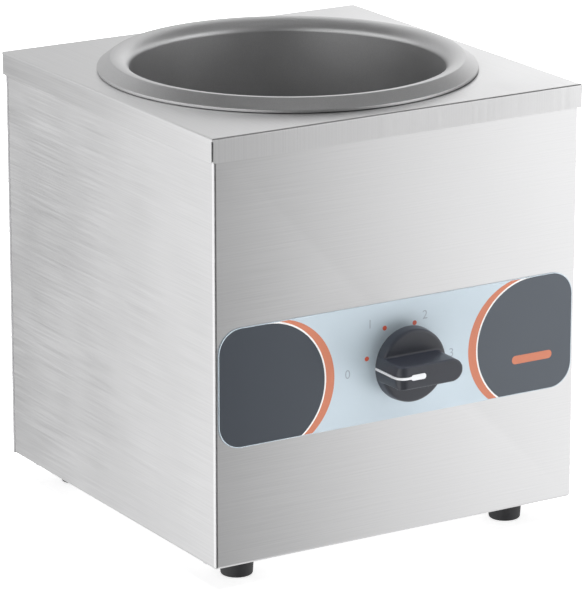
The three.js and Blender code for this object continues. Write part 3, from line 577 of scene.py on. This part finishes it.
# ---- knob -----------------------------------------------------------------------------------
# Heights are off the cabinet's front.
HUB_BACK, SKIRT_BACK, FACE, KNOB_TOP = 5.0, 8.0, 14.5, 30.7
HUB_R, SKIRT_R, FACE_R = 6.8, 19.4, 18.6
BAR_FRONT, BAR_FOOT, BAR_RIGHT, BAR_LEFT, BAR_CORNER = 11.8, 12.8, 18.2, 19.4, 5.0
HOLLOW_FROM, HOLLOW_TO, HOLLOW_R, HOLLOW_END_R = 6.0, 12.3, 17.2, 16.6
BORE_R, BORE_END = 4.0, 19.3
BADGE_LENGTH, BADGE_WIDTH, BADGE_CORNER, BADGE_X = 8.6, 2.9, 1.3, -8.1
LINE_START, LINE_WIDTH = -11.6, 1.3


def knob_bar():
    """The grip: the sides draw in a little towards the front, and the left end is rounded over."""
    side = [(-BAR_LEFT, SKIRT_BACK + 0.4), (BAR_RIGHT, SKIRT_BACK + 0.4), (BAR_RIGHT, KNOB_TOP)]
    side += arc(BAR_CORNER - BAR_LEFT, KNOB_TOP - BAR_CORNER, BAR_CORNER, BAR_CORNER, 90, 180, 10)
    turn = Matrix.Rotation(pi / 2, 4, "X")
    bar = plate("knob_bar", side, 20, Matrix.Translation((0, 10 * MM, 0)) @ turn)
    half = BAR_FOOT / 2
    plan = [(-BAR_LEFT - 1, -half), (BAR_RIGHT - half, -half)]
    plan += arc(BAR_RIGHT - half, 0, half, half, -85, 85, 24) + [(BAR_RIGHT - half, half)]
    plan += [(-BAR_LEFT - 1, half)]
    footprint = plate("knob_plan", plan, KNOB_TOP + 1, Matrix.Identity(4))
    for vert in footprint.data.vertices:
        if vert.co.z > 0.01:
            vert.co.y *= BAR_FRONT / BAR_FOOT
    end = lathe("knob_end", [(0, 0), (BAR_LEFT, 0), (BAR_LEFT, 40), (0, 40)], 96)
    return boolean(bar, [footprint, end], "INTERSECT")


def knob():
    """The moulded knob: a hollow tapered skirt on a hub, with a bar grip and softened edges."""
    skirt = lathe("knob_body", [
        (0, HUB_BACK), (HUB_R, HUB_BACK), (HUB_R, SKIRT_BACK), (SKIRT_R, SKIRT_BACK),
        (SKIRT_R, SKIRT_BACK + 0.6), (FACE_R + 0.2, FACE - 0.7), (FACE_R - 0.6, FACE), (0, FACE)], 96)
    boolean(skirt, [knob_bar()], "UNION")
    modify(skirt, "REMESH", mode="VOXEL", voxel_size=0.32 * MM)
    modify(skirt, "SMOOTH", factor=0.5, iterations=26)
    bake(skirt)
    hollow = lathe("cut_hollow", [(HUB_R, HOLLOW_FROM), (HOLLOW_R, HOLLOW_FROM),
                                  (HOLLOW_END_R, HOLLOW_TO), (HUB_R, HOLLOW_TO)], 96)
    bore = lathe("cut_bore", [(0, 3), (BORE_R, 3), (BORE_R, BORE_END), (0, BORE_END)], ROUND)
    boolean(skirt, [hollow, bore, pointer_solid("cut_pointer", 0.12)])
    skirt.data.transform(front_place())
    keep(shade(skirt, 45), DIAL, "knob_plastic", ["knob"])
    pointer = pointer_solid("pointer_inlay", 0.0)
    fillet(pointer, 0.1, 2)
    pointer.data.transform(front_place())
    keep(shade(pointer, 40), DIAL, "pointer_white", ["knob_pointer"])


def pointer_line(lift, foot):
    """The bar's middle line lifted off its surface: along the face and down the left end."""
    radius = BAR_CORNER + lift
    corner = arc(BAR_CORNER - BAR_LEFT, KNOB_TOP - BAR_CORNER, radius, radius, 90, 180, 10)
    return [(LINE_START, KNOB_TOP + lift)] + corner + [(-BAR_LEFT - lift, foot)]


def pointer_solid(name, spread):
    """The white badge on the bar and the slim line that runs from it down the left end."""
    high, low = (1.2, -0.6 - spread) if spread else (0.1, -0.6)
    foot = SKIRT_BACK + 0.6 - spread
    side = pointer_line(high, foot) + pointer_line(low, foot)[::-1]
    width = LINE_WIDTH + 2 * spread
    turn = Matrix.Translation((0, width / 2 * MM, 0)) @ Matrix.Rotation(pi / 2, 4, "X")
    ribbon = plate(name, side, width, turn)
    badge_outline = rounded_rectangle(BADGE_LENGTH + 2 * spread, BADGE_WIDTH + 2 * spread,
                                      BADGE_CORNER + spread, 10)
    badge = plate("badge", [(x + BADGE_X, y) for x, y in badge_outline], high - low,
                  Matrix.Translation((0, 0, (KNOB_TOP + low) * MM)))
    return boolean(ribbon, [badge], "UNION")


# ---- feet, screws and rear fittings -----------------------------------------------------------
def foot(node):
    low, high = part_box(node)
    x, y = centre(node)[:2]
    tall = (high[2] - low[2]) / MM
    profile = [(5.0, 0.3), (5.3, 0), (7.2, 0)] + arc(7.2, 1.0, 1.0, 1.0, -70, -5, 6)
    profile += [(9.0, tall - 0.6), (8.7, tall), (2.2, tall), (2.2, 6.0), (5.0, 6.0)]
    piece = lathe(f"{node}_rubber", profile, 72, Matrix.Translation((x, y, low[2])))
    keep(shade(piece, 35), CABINET, "rubber", [node])


def screw(node, direction, seat, length, material="zinc"):
    """A domed screw with a cross recess. Its head points along direction from its seat."""
    dome = arc(0, 0.4, 3.5, 1.45, 0, 90, 10)
    profile = [(0, -length), (1.1, -length), (1.85, 0.8 - length), (1.85, 0), (3.5, 0)] + dome[:-1]
    profile += [(0, 1.85)]
    turn = Vector((0, 0, 1)).rotation_difference(Vector(direction)).to_matrix().to_4x4()
    piece = lathe(f"{node}_fine", profile, 36)
    cuts = []
    for half in ((1.9, 0.32), (0.32, 1.9)):
        cuts.append(block("cut_cross", (-half[0] * MM, -half[1] * MM, 0.7 * MM),
                          (half[0] * MM, half[1] * MM, 4 * MM)))
    boolean(piece, cuts)
    piece.data.transform(Matrix.Translation(seat) @ turn)
    keep(shade(piece, 35), CABINET, material, [node])


def screws():
    names = ("front_left", "front_right", "rear_left", "rear_right")
    for name in names:
        node = f"pan_screw_{name}"
        x, y = centre(node)[:2]
        screw(node, (0, 0, -1), (x, y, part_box(node)[0][2] + 1.9 * MM), 4.9)
    for name in ("upper_left", "upper_right", "lower_left", "lower_right"):
        node = f"rear_screw_{name}"
        x, _, z = centre(node)
        screw(node, (0, 1, 0), (x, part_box(node)[1][1] - 1.9 * MM, z), 6.9)
    x, _, z = centre("ground_screw")
    screw("ground_screw", (0, 1, 0), (x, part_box("ground_screw")[1][1] - 1.9 * MM, z), 7.9,
          "ground_green")


def cord_gland():
    x, _, z = centre("cord_gland")
    profile = [(3.8, -9.9), (4.1, -10), (7.2, -10), (7.6, -9.6), (7.6, 0.3), (10.2, 0.3)]
    profile += [(10.5, 0.6), (10.5, 1.9), (10.2, 2.2), (9.2, 2.5), (8.6, 3.8)]
    profile += arc(7.3, 3.7, 1.25, 1.25, 10, 90, 6) + [(5.0, 4.95)] + arc(4.9, 3.9, 1.1, 1.05, 100, 180, 6)
    piece = lathe("cord_gland_bush", profile, 72, rear_place(x, z, REAR_HIGH[1]))
    keep(shade(piece, 35), CABINET, "black_plastic", ["cord_gland"])


def rating_plate():
    low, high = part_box("rating_plate")
    x, _, z = centre("rating_plate")
    outline = rounded_rectangle((high[0] - low[0]) / MM, (high[2] - low[2]) / MM, 3, 10)
    piece = plate("rating_plate_blank", outline, 0.5, rear_place(x, z, low[1]))
    fillet(piece, 0.12, 2)
    keep(shade(piece), CABINET, "zinc", ["rating_plate"])


CARRIED = {
    "heater_band": "mica", "insulation_wrap": "fibre", "limit_cutout": "ceramic",
    "thermostat_housing": "black_plastic", "gland_nut": "black_plastic",
    "terminal_block": "nylon", "wire_line": "wire_black", "wire_heater_feed": "wire_red",
    "wire_heater_return": "wire_white", "wire_neutral": "wire_blue",
}


def carried_nodes():
    """Gives the CAD nodes that stay, all of them inside the cabinet, a finished material."""
    for node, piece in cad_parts.items():
        material = MATERIALS[CARRIED.get(node, "zinc")]
        piece.data.materials.clear()
        piece.data.materials.append(material)


# ---- stage ----------------------------------------------------------------------------------
def floor():
    bm = bmesh.new()
    bmesh.ops.create_grid(bm, x_segments=2, y_segments=2, size=12.0)
    piece = object_from("floor", bm)
    piece.data.materials.append(MATERIALS["floor"])
    piece.visible_glossy = False


def world_light():
    """A bright band round the horizon that dims towards the ceiling and towards the left."""
    world = bpy.data.worlds.new("studio")
    bpy.context.scene.world = world
    world.use_nodes = True
    tree = world.node_tree
    way = link(tree, "ShaderNodeTexCoord").outputs["Generated"]
    parts = link(tree, "ShaderNodeSeparateXYZ", {0: way})
    level = link(tree, "ShaderNodeMapRange", {"Value": parts.outputs[2], "From Min": 0.30,
                                              "From Max": 0.52, "To Min": 1.0, "To Max": 0.19},
                 interpolation_type="SMOOTHSTEP").outputs["Result"]
    side = link(tree, "ShaderNodeMapRange", {"Value": parts.outputs[0], "From Min": -0.9, "From Max": 0.3,
                                             "To Min": 0.25, "To Max": 1.0},
                interpolation_type="SMOOTHSTEP").outputs["Result"]
    level = link(tree, "ShaderNodeMath", {0: level, 1: side}, operation="MULTIPLY").outputs[0]
    background = tree.nodes["Background"]
    tree.links.new(level, background.inputs["Strength"])
    background.inputs["Color"].default_value = (1.0, 1.0, 1.0, 1.0)


def overhead_light():
    """A broad soft light above, kept out of the steel's reflections."""
    data = bpy.data.lights.new("overhead", "AREA")
    data.shape, data.size, data.size_y = "RECTANGLE", 3.5, 3.5
    data.energy = 215
    lamp = add_object("overhead", data)
    lamp.location = (0.5, 0.2, 3.0)
    lamp.visible_glossy = False


def gradient_board(name, place, size, levels, rise=0.0):
    """A glowing board that only reflections see. Levels are (millimetres along X, brightness), and
    rise is the brightness gained per metre up the board."""
    shade_made = bpy.data.materials.new(name)
    shade_made.use_nodes = True
    tree = shade_made.node_tree
    tree.nodes.clear()
    spot = link(tree, "ShaderNodeTexCoord").outputs["Object"]
    parts = link(tree, "ShaderNodeSeparateXYZ", {0: spot})
    along = parts.outputs[0]
    total = None
    for (x0, b0), (x1, b1) in zip(levels, levels[1:]):
        step = link(tree, "ShaderNodeMapRange", {"Value": along, "From Min": x0 * MM,
                                                 "From Max": x1 * MM, "To Min": 0.0, "To Max": b1 - b0})
        value = step.outputs["Result"]
        total = value if total is None else link(tree, "ShaderNodeMath", {0: total, 1: value}).outputs[0]
    total = link(tree, "ShaderNodeMath", {0: total, 1: levels[0][1]}).outputs[0]
    lift = link(tree, "ShaderNodeMapRange", {"Value": parts.outputs[1], "From Min": -0.5, "From Max": 0.5,
                                             "To Min": 1 - rise / 2, "To Max": 1 + rise / 2}).outputs[0]
    total = link(tree, "ShaderNodeMath", {0: total, 1: lift}, operation="MULTIPLY").outputs[0]
    glow = link(tree, "ShaderNodeEmission", {"Strength": total})
    output = link(tree, "ShaderNodeOutputMaterial")
    tree.links.new(glow.outputs[0], output.inputs["Surface"])
    bm = bmesh.new()
    bmesh.ops.create_grid(bm, x_segments=1, y_segments=1, size=0.5)
    bmesh.ops.transform(bm, matrix=Matrix.Diagonal((size[0], size[1], 1, 1)), verts=bm.verts)
    piece = object_from(name, bm)
    piece.data.materials.append(shade_made)
    piece.matrix_world = place
    piece.visible_camera = False
    piece.visible_diffuse = False
    piece.visible_shadow = False


def lights():
    world_light()
    overhead_light()
    upright = Matrix.Rotation(pi / 2, 4, "X")
    gradient_board("front_board", Matrix.Translation((0, -0.52, 0)) @ upright, (2.4, 1.4),
                   ((-20, 0.07), (110, 0.20), (200, 0.74), (290, 1.12), (400, 1.38)), 0.4)
    gradient_board("back_board", Matrix.Translation((0.2, 0.7, 0.5)) @ upright, (1.8, 0.8),
                   ((0, 0.66), (420, 1.40)))
    sideways = Matrix.Rotation(pi / 2, 4, "Z") @ upright
    gradient_board("left_board", Matrix.Translation((-0.5, 0.4, 0)) @ sideways, (2.2, 1.2),
                   ((100, 1.32), (240, 0.98), (300, 0.70), (380, 0.42), (600, 0.25)))


AZIMUTH, ELEVATION, DISTANCE, LENS = -31.40, 16.6, 2.171, 250.6
AIM_X, AIM_BELOW_LID = 2.6, 124.5


def camera():
    """A long lens from the front left, a little above, aimed near the warmer's middle."""
    data = bpy.data.cameras.new("camera")
    data.lens, data.sensor_width = LENS, 36.0
    eye = add_object("camera", data)
    a, e = radians(AZIMUTH), radians(ELEVATION)
    back = Vector((sin(a) * cos(e), -cos(a) * cos(e), sin(e)))
    aim = Vector((AIM_X * MM, CENTRE_Y, LID_TOP - AIM_BELOW_LID * MM))
    eye.location = aim + back * DISTANCE
    eye.rotation_euler = back.to_track_quat("Z", "Y").to_euler()
    bpy.context.scene.camera = eye


MATERIALS = make_materials()
camera()
body_wrap()
rear_panel()
bottom_pan()
top_cover()
well()
control_overlay()
knob()
for corner_name in ("front_left", "front_right", "rear_left", "rear_right"):
    foot(f"foot_{corner_name}")
screws()
cord_gland()
rating_plate()
carried_nodes()
floor()
lights()
bpy.context.scene.view_settings.view_transform = "Standard"
